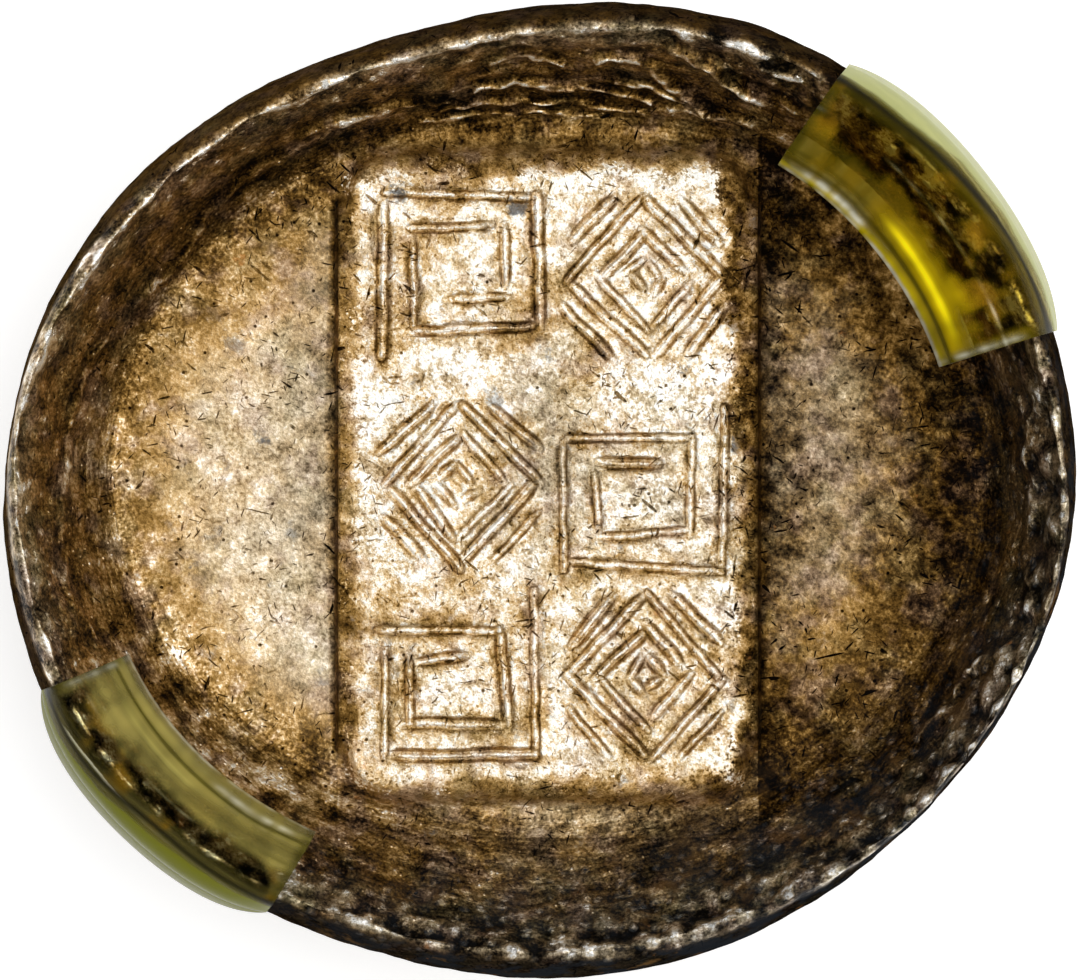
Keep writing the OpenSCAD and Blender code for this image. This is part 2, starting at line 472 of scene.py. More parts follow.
def ornament_strokes():
    """All strokes of the panel, each a head, a tail, a width and a depth."""
    rng = np.random.default_rng(ENGRAVER_SEED)
    strokes = []
    for i, x in enumerate(MOTIF_XS):
        for j, y in enumerate(MOTIF_YS):
            drawn = square_spiral(1 if j == 0 else -1) if (i + j) % 2 == 0 else nested_lozenges()
            middle = np.array([PANEL_X + x, PANEL_Y + y])
            for head, tail in drawn:
                head = middle + head + rng.uniform(-HAND_SHAKE, HAND_SHAKE, 2)
                tail = middle + tail + rng.uniform(-HAND_SHAKE, HAND_SHAKE, 2)
                ahead = (tail - head) / np.linalg.norm(tail - head)
                tail = tail + ahead * rng.uniform(-OVERSHOOT, OVERSHOOT)
                width = GROOVE_W * rng.uniform(*WIDTH_SPREAD)
                deep = GROOVE_D * rng.uniform(*DEPTH_SPREAD)
                strokes.append((head, tail, width, deep))
    return strokes


def line_distance(xy, head, tail):
    """Distance from a line seen from above, signed by side, the share along it, and its length."""
    along = np.asarray(tail, float) - head
    length = np.linalg.norm(along)
    offset = xy - head
    t = np.clip((offset @ along) / length ** 2, 0, 1)
    away = np.linalg.norm(offset - t[:, None] * along, axis=1)
    side = np.sign(along[0] * offset[:, 1] - along[1] * offset[:, 0])
    return away * np.where(side == 0, 1, side), t, length


# How close to a stroke or a fold the mesh is made finer, and how many cuts each edge gets there
STROKE_NEAR = 0.56
FOLD_NEAR = 0.13
FLOOR_SLACK = 0.3
FINER_CUTS = 2


def refine(ingot, choose):
    """Subdivides the faces whose middles are chosen."""
    mesh = ingot.data
    middles = np.empty(len(mesh.polygons) * 3, np.float32)
    mesh.polygons.foreach_get("center", middles)
    chosen = choose(middles.reshape(-1, 3).astype(float) / MM)
    take_in_hand(ingot)
    bpy.ops.object.mode_set(mode="EDIT")
    bpy.ops.mesh.select_mode(type="FACE")
    bpy.ops.mesh.select_all(action="DESELECT")
    bpy.ops.object.mode_set(mode="OBJECT")
    mesh.polygons.foreach_set("select", chosen)
    bpy.ops.object.mode_set(mode="EDIT")
    bpy.ops.mesh.subdivide(number_cuts=FINER_CUTS)
    bpy.ops.object.mode_set(mode="OBJECT")


def near_strokes(strokes):
    def choose(points):
        on_floor = np.abs(points[:, 2] - PANEL_Z) < FLOOR_SLACK
        near = np.zeros(len(points), bool)
        for head, tail, width, _ in strokes:
            near |= np.abs(line_distance(points[:, :2], head, tail)[0]) < width * STROKE_NEAR
        return near & on_floor
    return choose


# Folds that the setting metal left on the inner wall: places along each, and its height and width
FOLDS = (
    (((2.8, 21.4), (3.3, 21.65), (4.35, 21.55), (5.2, 21.2), (6.0, 20.65), (6.65, 20.1),
      (8.25, 18.9)), 0.36, 0.2),
    (((3.7, 20.4), (5.75, 20.1), (7.2, 19.4)), 0.22, 0.15),
    (((-3.35, 19.85), (-2.3, 20.25), (-1.05, 20.4), (0.25, 20.15), (1.65, 20.05)), 0.26, 0.15),
    (((1.4, 20.2), (3.3, 19.95), (4.6, 19.7), (5.6, 19.4)), 0.26, 0.15),
    (((-12.0, 17.6), (-10.7, 18.2), (-8.8, 18.75), (-6.9, 19.25), (-4.35, 19.4)), 0.24, 0.16),
    (((-5.0, 19.0), (-2.5, 19.5), (0.0, 19.4), (2.2, 19.35), (3.8, 19.1), (5.2, 18.9)), 0.18, 0.13),
    (((-6.0, 18.4), (-3.0, 18.9), (0.0, 18.95), (3.0, 18.7)), 0.14, 0.12),
    (((6.35, 19.0), (7.65, 18.9), (8.85, 18.75), (10.65, 18.3)), 0.26, 0.17),
    (((6.35, 22.0), (8.4, 21.1), (10.2, 19.8), (12.85, 18.9)), 0.4, 0.24),
    (((11.1, 21.1), (12.85, 20.2)), 0.3, 0.22),
    (((7.7, 21.6), (9.5, 20.3), (11.75, 19.2)), 0.3, 0.18),
    (((-2.6, 21.2), (-0.6, 21.6), (1.2, 21.2)), 0.22, 0.2),
    (((8.6, 22.4), (10.4, 21.9), (11.6, 21.2)), 0.32, 0.3),
    (((-24.35, 9.7), (-23.4, 10.5), (-21.5, 13.05)), 0.24, 0.18),
    (((-20.3, 9.2), (-17.8, 11.5), (-16.75, 13.6), (-14.7, 15.55), (-12.0, 17.1),
      (-10.1, 18.3)), 0.1, 0.17),
    (((-22.0, -7.4), (-23.4, -5.45), (-23.8, -2.75), (-23.9, -0.45), (-23.35, 3.4), (-22.7, 5.9),
      (-21.7, 7.6)), 0.13, 0.15),
    (((25.04, 5.5), (24.65, 3.8), (24.27, 1.65), (24.55, 0.5), (24.37, -1.6), (24.1, -3.5), (24.45, -4.9),
      (23.8, -6.8), (23.3, -7.75), (21.2, -9.3)), 0.2, 0.2),
    (((21.35, -9.0), (20.5, -10.8), (18.5, -12.5)), 0.16, 0.2),
    (((23.75, -8.95), (22.7, -10.6), (21.9, -12.1), (20.6, -13.5), (19.8, -15.0)), 0.18, 0.2),
)
FLOOR_OVAL = (19, 16.5)
FOLD_WANDER = 0.2
FOLD_REACH = 1.6
FOLD_END = 1.8
# The painted highlight along the top of each fold: its width, and the fold height below which it shows weaker
FOLD_LINE_W = 0.075
PLAIN_FOLD = 0.22

# Behind each fold lies a hollow, with a dark line of painted shade: how far behind the hollow lies, in widths
# of the fold, how deep it is, and how far behind the painted shade lies
HOLLOW_AT = 1.7
HOLLOW_D = 0.55
FOLD_SHADE_AT = 1.5


def fold_distances(points):
    """Which points lie on the inner wall, and the distance from each fold of those, signed by side."""
    off_floor = np.hypot(points[:, 0] / FLOOR_OVAL[0], points[:, 1] / FLOOR_OVAL[1]) > 1
    wall = np.flatnonzero((points[:, 2] > FLOOR_Z) & off_floor)
    here = points[wall]
    sideways = np.column_stack([lumps(here, 1.1, 41) + lumps(here, 0.5, 42), lumps(here, 0.9, 43)])
    xy = here[:, :2] + FOLD_WANDER * sideways
    away = []
    for places, _, _ in FOLDS:
        nearest = np.full(len(wall), FOLD_REACH)
        for k, (head, tail) in enumerate(zip(places, places[1:])):
            off, t, _ = line_distance(xy, np.array(head), np.array(tail))
            past_end = (k == 0) & (t < 0.01) | (k == len(places) - 2) & (t > 0.99)
            off = off * np.where(past_end, FOLD_END, 1.0)
            nearest = np.where(np.abs(off) < np.abs(nearest), off, nearest)
        away.append(nearest)
    return wall, np.array(away)


def near_folds(points):
    wall, away = fold_distances(points)
    near = np.zeros(len(points), bool)
    near[wall] = np.abs(away).min(axis=0) < FOLD_NEAR
    return near


def fold_ridges(points):
    """Height of the folds, and how near each point is to the painted highlight along a fold's top and to the
    painted shade of the dark line behind it.
    """
    height, ridge, behind = np.zeros((3, len(points)))
    wall, away = fold_distances(points)
    strong = 0.75 + 0.5 * lumps(points[wall], 1.4, 44)
    for (_, tall, wide), off in zip(FOLDS, away):
        height[wall] += tall * strong * (bump(off, wide) - HOLLOW_D * bump(off - HOLLOW_AT * wide, wide))
        bright = bump(off, FOLD_LINE_W) * np.clip(strong, 0, 1) * min(1, tall / PLAIN_FOLD)
        ridge[wall] = np.maximum(ridge[wall], bright)
        behind[wall] = np.maximum(behind[wall], bump(off - FOLD_SHADE_AT * wide, wide))
    return height, ridge, behind


# The rim at every 45 degrees round from +X: how rugged it is, how wide its knobbly band is, how plain the
# painted highlight along its crest is, how bright and warm the wall and the crest are, how bright the outside
# is, how wide the crest's finish is, how blue-black the rim is, and where past the crest its dark band starts
ROUND = np.arange(0, 361, 45)
RUGGED = (1.0, 0.9, 0.75, 0.3, 0.75, 1.0, 1.0, 1.0, 1.0)
KNOB_BAND = (3.0, 2.4, 1.5, 1.1, 2.2, 2.4, 4.2, 3.8, 3.0)
CREST_LINE = (0.15, 0.25, 0.7, 1.0, 0.6, 0.5, 0.8, 0.4, 0.15)
WALL_TONE = (0.39, 0.35, 0.44, 0.41, 0.54, 0.4, 0.47, 0.285, 0.39)
WALL_WARM = (0.75, 0.9, 1.2, 1.4, 1.0, 1.3, 0.55, 0.6, 0.75)
CREST_TONE = (0.5, 0.46, 0.49, 0.54, 0.54, 0.43, 0.39, 0.37, 0.5)
CREST_WARM = (0.0, 0.3, 0.35, 0.65, 0.4, 0.25, 0.05, 0.05, 0.0)
OUTER_TONE = (0.14, 0.16, 0.19, 0.29, 0.28, 0.16, 0.15, 0.13, 0.14)
CREST_WIDE = (1.4, 0.9, 0.9, 0.9, 0.9, 1.2, 1.9, 1.6, 1.4)
BLUE = (0.6, 0.1, 0.0, 0.0, 0.0, 0.3, 0.9, 1.0, 0.6)
BAND_FROM = (0.08, 0.05, 0.04, 0.08, 0.4, 0.1, 0.04, 0.35, 0.08)


def round_value(a, values):
    return np.interp(np.degrees(a), ROUND, values)


# Parts of the rim: how far the crest's lumps reach into the dish and over the shoulder, how wide and how far
# in its bright line is (raised a little, with a painted highlight), and how the sleeves' cover fades along
# the rim, in degrees, and into the dish
ABOVE_BASE = 1.0
CREST_REACH = 1.7
CREST_OVER = 0.45
CREST_LINE_W = 0.085
CREST_LINE_IN = 0.05
COVER_FADE = 4
COVER_IN = (6.0, 4.5)


def sleeve_cover(a):
    """1 where a sleeve covers the rim, so that the rim stays clear of its bore."""
    past_ends = [np.abs(from_angle(a, tube.turn)) - tube.span / 2 for tube in (RIGHT, LEFT)]
    return fade(0, COVER_FADE, np.minimum(*past_ends))


def survey(mesh):
    """Where each vertex lies on the ingot, before it is sculpted."""
    spot = SimpleNamespace(points=read_points(mesh), normals=read_normals(mesh))
    spot.section = painted(mesh, "section")
    spot.step = painted(mesh, "step")
    away, pool, full, spot.angle = dish_place(spot.points[:, :2])
    spot.inside = full - away
    spot.floor_edge = pool - away
    spot.up_wall = np.clip((away - pool) / (full - pool), 0, 1)
    above = spot.points[:, 2] > ABOVE_BASE
    spot.in_dish = (spot.section <= DISH_END) & above
    spot.on_panel = (spot.section < 0.01) & above
    spot.on_wall = np.where(spot.in_dish, ease(0, 0.35, spot.up_wall), 0)
    spot.over_crest = fade(DISH_END, DISH_END + CREST_OVER, spot.section)
    spot.crest = np.where(spot.in_dish, bump(spot.inside, CREST_REACH), spot.over_crest * above)
    knob_band = round_value(spot.angle, KNOB_BAND)
    spot.knobbly = np.where(spot.in_dish, bump(spot.inside, knob_band), spot.over_crest)
    spot.outer = ease(DISH_END + 0.1, DISH_END + 0.5, spot.section)
    spot.below = ease(SHOULDER_END - 0.1, SHOULDER_END + 0.3, spot.section)
    band_from = DISH_END + round_value(spot.angle, BAND_FROM)
    spot.past_crest = ease(band_from, band_from + 0.18, spot.section)
    spot.cover = sleeve_cover(spot.angle) * np.where(spot.in_dish, ease(*COVER_IN, spot.inside), 1)
    spot.middling = lumps(spot.points, 1.5, 2)
    spot.small = lumps(spot.points, 0.7, 3)
    wander = 0.22 * lumps(spot.points * (1, 1, 0), 2.6, 8) + 0.1 * spot.middling
    # The crest's bright line: raised a little, with a painted highlight along it, half as strong under a
    # sleeve
    line = bump(spot.inside - CREST_LINE_IN - wander, CREST_LINE_W) * (spot.section < SHOULDER_END) * above
    line = line * np.clip(0.9 + 0.8 * lumps(spot.points, 1.1, 9), 0, 1)
    spot.crest_line = line * round_value(spot.angle, CREST_LINE) * (1 - 0.5 * spot.cover)
    return spot


# Heights of the lumps, from the widest to the finest, on the floor, the wall, the crest and the outside, and
# how much of them is left under a sleeve
FLOOR_LUMPS = (0.03, 0.012)
WALL_LUMPS = (0.13, 0.1)
CREST_LUMPS = (0.22, 0.18, 0.22)
OUTSIDE_LUMPS = (0.1, 0.05, 0.04)
OUTSIDE_SINK = 0.14
BAND_LUMP = 0.14
CREST_LINE_H = 0.1
UNDER_SLEEVE = 0.3

# The pits of the underside
PIT_SPACING = 1.9
PIT_RIM = 0.45
PIT_D = 0.9


def swell(spot):
    """How far the surface stands out for swells, knobs and folds, and sinks in for the underside's pits."""
    rugged = round_value(spot.angle, RUGGED)
    coarse = lumps(spot.points, 3.2, 1)
    move = coarse * (FLOOR_LUMPS[0] + WALL_LUMPS[0] * spot.on_wall)
    move += spot.middling * (FLOOR_LUMPS[1] + WALL_LUMPS[1] * spot.on_wall * rugged)
    knobs = np.dot(CREST_LUMPS, (lumps(spot.points, 2.1, 6), spot.middling, spot.small))
    move += rugged * (spot.crest * knobs + (1 - spot.crest) * spot.knobbly * BAND_LUMP * spot.small)
    folds, spot.ridge, spot.behind = fold_ridges(spot.points)
    move += np.where(spot.in_dish, folds, 0) + CREST_LINE_H * spot.crest_line
    move *= blend(1, UNDER_SLEEVE, spot.cover)
    outside = np.dot(OUTSIDE_LUMPS, (coarse, spot.middling, spot.small)) - OUTSIDE_SINK
    move = blend(move, np.minimum(outside, 0), spot.outer)
    under = ease(SHOULDER_END + 0.45, SHOULDER_END + 0.9, spot.section)
    spot.pit = (PIT_RIM - np.clip(pits(spot.points, PIT_SPACING, 5), 0, PIT_RIM)) * under
    return move - PIT_D * spot.pit


def carve(spot, strokes):
    """Height of the chisel strokes and their burrs, their painted shade and painted highlights, and how they
    hold the patina.
    """
    count = len(spot.points)
    move, spot.shade, spot.gleam, spot.stain = np.zeros((4, count))
    floor = np.flatnonzero(spot.on_panel)
    here = spot.points[floor]
    xy = here[:, :2] + STROKE_WANDER * np.column_stack([lumps(here, 1.2, 51), lumps(here, 1.2, 52)])
    depth, shade, gleam, stain, burr = np.zeros((5, len(floor)))
    worn = np.clip(0.75 + 1.3 * lumps(here, 0.9, 53), 0.15, 1.25)
    for head, tail, width, deep in strokes:
        off, t, length = line_distance(xy, head, tail)
        ahead = (tail - head) / length
        off = off * np.sign(np.array([-ahead[1], ahead[0]]) @ SHADE_SIDE)
        ends = np.clip(np.minimum(t + 0.08, 1.03 - t) * length / STROKE_TAPER, 0, 1)
        half = width / 2 * (0.55 + 0.45 * ends)
        u = off / half
        furrow = bump(np.abs(u) - FURROW_AT, FURROW_W)
        furrow = np.maximum(furrow, WEB_D * (np.abs(u) < FURROW_AT)) * ends
        # Painted shade: dark lines along the furrows' edges, the stronger on the shaded side. Painted
        # highlight: a bright core and a bright line past the other side
        dark = bump(u - SHADE_AT, 0.28) + 0.6 * bump(u + SHADE_AT, 0.25)
        bright = bump(u, 0.4) + 0.6 * bump(u + GLEAM_AT, 0.3)
        depth = np.maximum(depth, furrow * deep)
        shade = np.maximum(shade, dark * ends * worn)
        gleam = np.maximum(gleam, bright * ends)
        burr = np.maximum(burr, bump(np.abs(u) - BURR_AT, 0.25) * ends)
        stain = np.maximum(stain, bump(off, HALO_W) * (0.4 + 0.6 * ends))
    move[floor] = BURR_H * burr * fade(0, 0.1, depth) - depth
    spot.shade[floor] = shade
    spot.gleam[floor] = gleam * fade(0.4, 0.9, shade)
    spot.stain[floor] = stain
    return move


# Where the white of the panel ends, from its middle, and how round its corners are
WHITE_FAR = 15.2
WHITE_NEAR = 15.3
EDGE_ROUND = 1.8
NOT_WHITE = -5

# Tones, warmth and patina that are the same all along a part: the panel's brown border and what it loses on
# the right, partly as painted shade, the painted shade of the step at the panel's side, the outside below the
# shoulder, the painted shade in the underside's pits, the wall and the crest
BORDER_TONE = 0.76
RIGHT_BORDER = 0.2
RIGHT_BORDER_X = 8
STEP_SHADE_TONE = 0.34
BELOW_TONE = 0.58
BELOW_WARM = 0.12
OUTER_WARM = 0.8
PIT_SHADE = 0.8
WALL_PATINA = 0.25
CREST_PATINA = 0.1

# The wall is brightest under the crest to the left of north, by this angle
NORTH_LEAN = math.radians(20)

# How closely the streaks lie round the wall and up it
FLOW_ROUND = 5
FLOW_UP = 2.6


def panel_finish(spot):
    """Tone, warmth and patina of the panel: white, with brown along its borders and grey across its waist,
    and darker along its right border, partly as painted shade. Also the way in from the edge of the white,
    and where the trough's ends take the wall's finish."""
    px, py = spot.points[:, 0] - PANEL_X, spot.points[:, 1] - PANEL_Y
    flat = spot.points * (1, 1, 0)
    ragged = 0.8 * lumps(flat, 2.8, 71) + 0.5 * lumps(flat, 1.1, 72)
    far_end = WHITE_FAR - py
    near_end = WHITE_NEAR + py
    right_w = 1.0 + 0.7 * ease(-3, 9, py)
    at_left = fade(0.2, 1.7, PANEL_W / 2 + px + 0.7 * ragged)
    at_right = fade(0.2 * right_w, 1.5 * right_w, PANEL_W / 2 - px + 0.7 * ragged)
    at_far = fade(-0.6, 0.6, far_end + ragged)
    at_near = fade(-0.7, 0.8, near_end + ragged)
    border = 1 - (1 - at_left) * (1 - at_right) * (1 - at_far) * (1 - at_near)
    inwards = (PANEL_W / 2 + px - 0.8, PANEL_W / 2 - px - 0.85 * right_w, far_end, near_end)
    edge = 0.6 * ragged - np.log(sum(np.exp(-EDGE_ROUND * way) for way in inwards)) / EDGE_ROUND
    waist = bump(py + 0.5, 4.0)
    grey = 0.5 * waist + bump(px, 2.2) * bump(py - 4, 6)
    patches = ease(0.12, 0.4, lumps(flat, 3.1, 73) - 0.025 * px) * (1 - 0.7 * waist)
    # Darker along the right border: brown patina, and partly painted shade
    tone = 0.98 - 0.2 * grey - 0.27 * at_right - 0.03 * at_far
    tone += 0.07 * bump(px + 6, 4) * waist - 0.05 * ease(0, -9, py)
    warm = 0.6 - 0.3 * waist + 0.8 * border + 0.3 * patches - 0.25 * grey
    warm += 0.55 * bump(px + 5, 3.5) * waist + 0.45 * spot.stain
    patina = 0.25 + 0.3 * border + 0.3 * spot.stain + 0.2 * patches - 0.06 * waist
    at_ends = np.maximum(fade(-2.4, -0.7, far_end), fade(-2.4, -0.6, near_end))
    return tone, warm, patina, edge, at_ends


def lens_finish(spot):
    """Tone, warmth and patina of the dish beside the panel: rubbed pale on the left, browner on the right,
    and the left lighter and the right darker partly as painted light and shade for how each slope faces the
    lamp.
    """
    px, py = spot.points[:, 0] - PANEL_X, spot.points[:, 1] - PANEL_Y
    beside = np.abs(px) - PANEL_W / 2
    edge = spot.floor_edge
    at_edge = fade(-0.5, 3.0, edge)
    amber_stain = bump(np.hypot(px + 15.2, py - 10.2), 3.2)
    tone = 0.81 - 0.15 * fade(0, 4.5, beside) + blend(-0.04, -0.12, ease(4, 9, np.abs(py))) * at_edge
    tone += (0.06 - 0.12 * at_edge) * ease(3, 9, py) + 0.1 * ease(-3, -9, py)
    warm = 0.2 + 0.35 * ease(1.5, 6, beside) + 0.35 * fade(0.5, 4.5, edge) + 0.7 * amber_stain
    patina = 0.18 + 0.85 * fade(0.0, 5.5, edge) + 0.3 * ease(3, 10, py) + 0.25 * amber_stain
    left = (tone, warm, patina)
    # The right side: darker, most of all beside the panel and towards its edge, partly as painted shade
    tone = 0.59 - 0.26 * fade(0, 3.5, beside) - 0.3 * fade(0.0, 7.0, edge)
    tone += 0.05 * ease(3, 10, py) + 0.23 * ease(-3, -10, py)
    warm = 0.4 + 0.6 * fade(1, 7, edge) + 0.4 * ease(-3, -10, py)
    patina = 0.25 + 0.4 * fade(1, 6, edge) + 0.2 * ease(-4, -11, py)
    right = (np.maximum(tone, 0.28), warm, patina)
    return np.where(px < 0, left, right)


def dish_finish(spot):
    """The look inside the crest: the panel, the dish beside it and the wall round them."""
    look = SimpleNamespace()
    py = np.abs(spot.points[:, 1] - PANEL_Y)
    tone, warm, patina = lens_finish(spot)
    panel_tone, panel_warm, panel_patina, look.white_edge, at_ends = panel_finish(spot)
    at_north = ease(0.5, 0.95, np.sin(spot.angle - NORTH_LEAN))
    wall_tone = round_value(spot.angle, WALL_TONE) - 0.12 * bump(spot.up_wall - 0.3, 0.22) * at_north
    wall_tone += blend(-0.04, 0.06, at_north) * ease(0.2, 0.8, spot.up_wall)
    wall_warm = round_value(spot.angle, WALL_WARM)
    past_panel = ease(PANEL_L / 2 + 1, PANEL_L / 2 + PANEL_END_R, py)
    up = np.maximum(ease(-0.05, 0.5, spot.up_wall), past_panel)
    tone = blend(tone, wall_tone, up)
    warm = blend(warm, wall_warm, up)
    patina = blend(patina, WALL_PATINA, up)

    look.at_ends = np.maximum(at_ends, past_corner(spot.points[:, :2]))
    # The panel's white, with the strokes' painted highlights added and their painted shade taken off
    look.white = np.where(spot.on_panel, panel_tone + 0.26 * spot.gleam - 0.27 * spot.shade, tone)
    end_tone = wall_tone + np.where(spot.points[:, 1] > 0, 0.03, 0.14)
    # The border is darker on the right, partly as painted shade
    border_tone = BORDER_TONE - RIGHT_BORDER * (spot.points[:, 0] > PANEL_X + RIGHT_BORDER_X)
    tone = np.where(spot.on_panel, blend(border_tone, end_tone, look.at_ends), tone)
    warm = np.where(spot.on_panel, blend(panel_warm, wall_warm, look.at_ends), warm)
    look.patina = np.where(spot.on_panel, blend(panel_patina, WALL_PATINA, look.at_ends), patina)
    # Painted shade: the step at the panel's side is darkened and browned, fading towards the panel's ends
    step = spot.step * fade(PANEL_L / 2 - 1, PANEL_L / 2 + 2, py)
    look.tone = blend(tone, np.minimum(tone, STEP_SHADE_TONE), 0.8 * step)
    look.warm = warm + 0.4 * step
    return look


def add_rim_finish(spot, look):
    """Lays the crest's finish, the painted highlights along the crest line and the folds' tops, the painted
    shade behind the folds, the painted light on the rim under the sleeves, and the dark outside over the
    look.
    """
    near_crest = bump(spot.inside - 0.1, round_value(spot.angle, CREST_WIDE))
    near_crest = np.where(spot.in_dish, near_crest, 1 - spot.past_crest)
    blue = round_value(spot.angle, BLUE)
    tone = blend(look.tone, round_value(spot.angle, CREST_TONE), near_crest)
    tone += near_crest * (0.2 * spot.middling + 0.4 * spot.small) * (1 + 1.2 * blue)
    # Painted highlights along the folds' tops and the crest line, and painted shade behind the folds
    tone += 0.95 * spot.ridge * (0.7 + 1.1 * spot.small) - 0.18 * spot.behind + 0.65 * spot.crest_line
    outer_tone = blend(round_value(spot.angle, OUTER_TONE), BELOW_TONE, spot.below) - PIT_SHADE * spot.pit
    tone = blend(tone, outer_tone, spot.past_crest * (1 - spot.crest_line))
    # Painted light: the rim under a sleeve is brightened in patches, where the sleeve would shade it
    painted_light_under_sleeve = 0.25 + spot.middling + 1.2 * spot.small
    look.tone = tone + 0.4 * spot.cover * (1 - spot.past_crest) * painted_light_under_sleeve
    warm = blend(look.warm, round_value(spot.angle, CREST_WARM), near_crest)
    warm = blend(warm, blend(OUTER_WARM * (1 - blue), BELOW_WARM, spot.below), spot.past_crest)
    look.warm = warm - 0.4 * np.maximum(spot.ridge, spot.crest_line)
    look.patina = blend(blend(look.patina, CREST_PATINA, near_crest), 0.0, spot.past_crest)
    look.band = spot.past_crest * (1 - spot.below)
    look.blue = blue * np.maximum(look.band, spot.knobbly * (1 - 0.6 * near_crest))


def paint_finish(mesh, spot):
    """Brightness and warmth of the silver, by where it is rubbed white and where brown patina stays, with
    painted highlights and painted shade laid into the same brightness.
    """
    look = dish_finish(spot)
    add_rim_finish(spot, look)
    silk = ease(-2.0, 0.8, -spot.floor_edge) * (1 - bump(spot.inside, 1.0))
    layers = {
        "tone": np.clip(look.tone, 0, 1),
        "white": look.white,
        "white_edge": np.where(spot.on_panel, look.white_edge, NOT_WHITE),
        "warm": np.clip(look.warm, 0, 1.5),
        "patina": np.clip(look.patina, 0, 1),
        "rim": spot.knobbly,
        "band": look.band,
        "blue": look.blue,
        "outside": spot.past_crest,
        "panel": spot.on_panel * (1 - look.at_ends),
        "silk": np.where(spot.in_dish, silk, 0),
    }
    for name, values in layers.items():
        paint(mesh, name, values)
    across = FLOW_ROUND * np.cos(spot.angle)
    along = FLOW_ROUND * np.sin(spot.angle)
    paint_vectors(mesh, "flow", np.column_stack([across, along, FLOW_UP * spot.inside]))


def sculpt(ingot, strokes):
    """Moves the vertices along their normals for lumps, folds and chisel strokes, then paints them."""
    mesh = ingot.data
    spot = survey(mesh)
    move = swell(spot) + carve(spot, strokes)
    moved = spot.points + spot.normals * move[:, None]
    moved[:, 2] = np.maximum(moved[:, 2], 0)
    place_points(mesh, moved)
    paint_finish(mesh, spot)


def ingot_piece():
    ingot = ingot_blank()
    shape_section(ingot)
    strokes = ornament_strokes()
    refine(ingot, near_strokes(strokes))
    refine(ingot, near_folds)
    sculpt(ingot, strokes)
    take_in_hand(ingot)
    bpy.ops.object.shade_smooth()
    return ingot


# The sleeves: steps along the rim and round the section, the turns tried for the inner lip in degrees, the
# rounding of the cut edges, how much the wall keeps inside its size, and how thin its foot is at the ends
SLEEVE_COLS = 72
SLEEVE_ROWS = 100
LIP_FIRST = 180
LIP_LAST = 250
CUT_ROUND = 0.08
CUT_STEPS = 3
CUT_ANGLE = math.radians(50)
WALL_SHY = 0.03
SLIM_END = 0.8

# Tints that both sleeves have: dark lines, painted shade, the rim's painted shadow, stains, and scuffs that
# carry painted highlights
OLIVE = (0.05, 0.042, 0.002)
SHADED = (0.1, 0.08, 0.003)
RIM_SHADOW = (0.014, 0.012, 0.004)
AMBER = (0.42, 0.22, 0.008)
SCUFF_AND_HIGHLIGHT_TINT = (0.85, 0.84, 0.68)


def rim_outside_r(a, z):
    rise = np.clip((z - SHOULDER_H) / (crest_z(a) - SHOULDER_H), -1, 1)
    return outline_r(a) - CREST_INSET * (1 - np.sqrt(1 - rise ** 2))


def bore_axis(a, bore_r):
    """Distance out and height of the tubing's axis."""
    z = crest_z(a) - SLEEVE_SEAT * bore_r
    return rim_outside_r(a, z) + SLEEVE_GAP - bore_r, z


def lip_turn(a, bore_r):
    """Furthest turn round the bore at which both corners of the slit's edge clear the dish's wall."""
    out, z = bore_axis(a, bore_r)
    furthest = LIP_FIRST
    for turn in range(LIP_FIRST, LIP_LAST + 1):
        clear = True
        for r in (bore_r, bore_r + SLEEVE_WALL):
            lip_r = out + r * math.cos(math.radians(turn)) + SLEEVE_GAP
            wall_z = dish_height(at_polar(lip_r, a, z)[:, :2])
            clear = clear and np.all(z + r * math.sin(math.radians(turn)) > wall_z)
        if clear:
            furthest = turn
    return math.radians(furthest)


